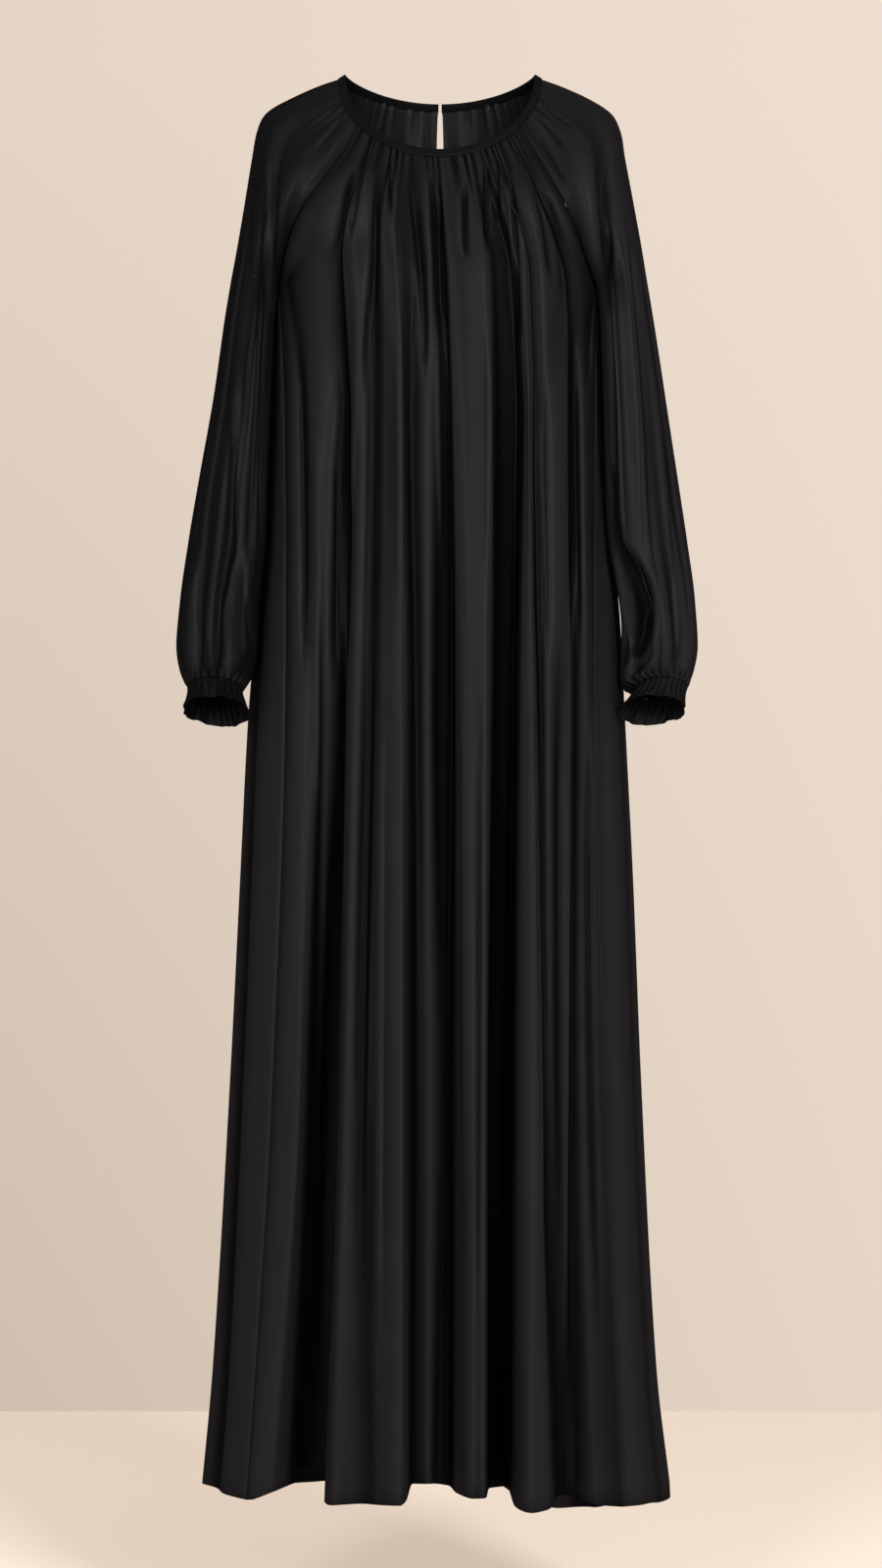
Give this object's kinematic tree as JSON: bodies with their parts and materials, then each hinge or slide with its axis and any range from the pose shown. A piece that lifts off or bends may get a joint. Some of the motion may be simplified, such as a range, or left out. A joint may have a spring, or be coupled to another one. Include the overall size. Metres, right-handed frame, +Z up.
{
  "type": "abaya",
  "caption": "Long loose robe with raglan sleeves, gathered round neck with a narrow binding, short slit at the back of the neck and elasticated flared cuffs, in its worn shape.",
  "frame": {"origin": "midway between the two neck corners, level with them, where the wearer's shoulders carry the robe", "axes": "+Z up, -Y towards the front of the robe, +X towards the wearer's left side"},
  "size_m": [0.5245, 0.3541, 1.4856],
  "materials": {
    "crepe": "near-black crepe with a soft low sheen",
    "binding": "the same near-black crepe cut on the bias, folded and stitched"
  },
  "bodies": {
    "root": {"front": "crepe", "back": "crepe", "sleeve_left": "crepe", "sleeve_right": "crepe", "cuff_left": "crepe", "cuff_right": "crepe", "neck_binding": "binding"}
  },
  "joints": []
}
